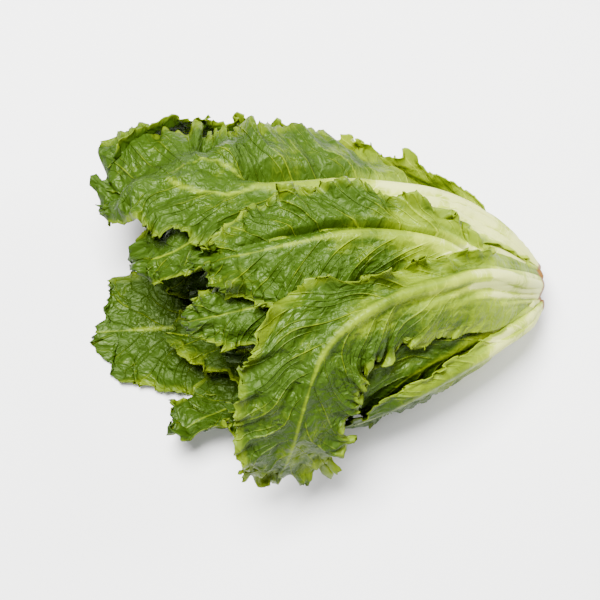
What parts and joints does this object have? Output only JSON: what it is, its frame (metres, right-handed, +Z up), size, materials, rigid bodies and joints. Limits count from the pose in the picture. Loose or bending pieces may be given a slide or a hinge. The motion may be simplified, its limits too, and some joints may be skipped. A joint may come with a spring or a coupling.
{
  "type": "endive head",
  "caption": "Loose head of broad-leaved endive lying on its side, with a cut stem, pale ribs and ruffled green leaves, the top one bent over and hanging down in front.",
  "frame": {"origin": "on the table, under the middle of the head's bounding box", "axes": "+X along the head from the leaf tips to the stem's cut face, +Y to the back, away from the bent top leaf, +Z up from the table"},
  "size_m": [0.297, 0.236, 0.1355],
  "materials": {
    "stem": "moist pale cut stem, browned at the cut",
    "outer_leaf": "satin green leaf with a pale waxy rib",
    "inner_leaf": "satin yellow-green leaf with a pale rib"
  },
  "bodies": {
    "root": {"inner_leaf_01": "inner_leaf", "inner_leaf_02": "inner_leaf", "inner_leaf_03": "inner_leaf", "inner_leaf_04": "inner_leaf", "inner_leaf_05": "inner_leaf", "inner_leaf_06": "inner_leaf", "inner_leaf_07": "inner_leaf", "inner_leaf_08": "inner_leaf", "inner_leaf_09": "inner_leaf", "inner_leaf_10": "inner_leaf", "inner_leaf_11": "inner_leaf", "inner_leaf_12": "inner_leaf", "inner_leaf_13": "inner_leaf", "inner_leaf_14": "inner_leaf", "outer_leaf_01": "outer_leaf", "outer_leaf_02": "outer_leaf", "outer_leaf_03": "outer_leaf", "outer_leaf_04": "outer_leaf", "outer_leaf_05": "outer_leaf", "outer_leaf_06": "outer_leaf", "outer_leaf_07": "outer_leaf", "outer_leaf_08": "outer_leaf", "outer_leaf_09": "outer_leaf", "outer_leaf_10": "outer_leaf", "outer_leaf_11": "outer_leaf", "outer_leaf_12": "outer_leaf", "outer_leaf_13": "outer_leaf", "outer_leaf_14": "outer_leaf", "outer_leaf_15": "outer_leaf", "stem": "stem"}
  },
  "joints": []
}
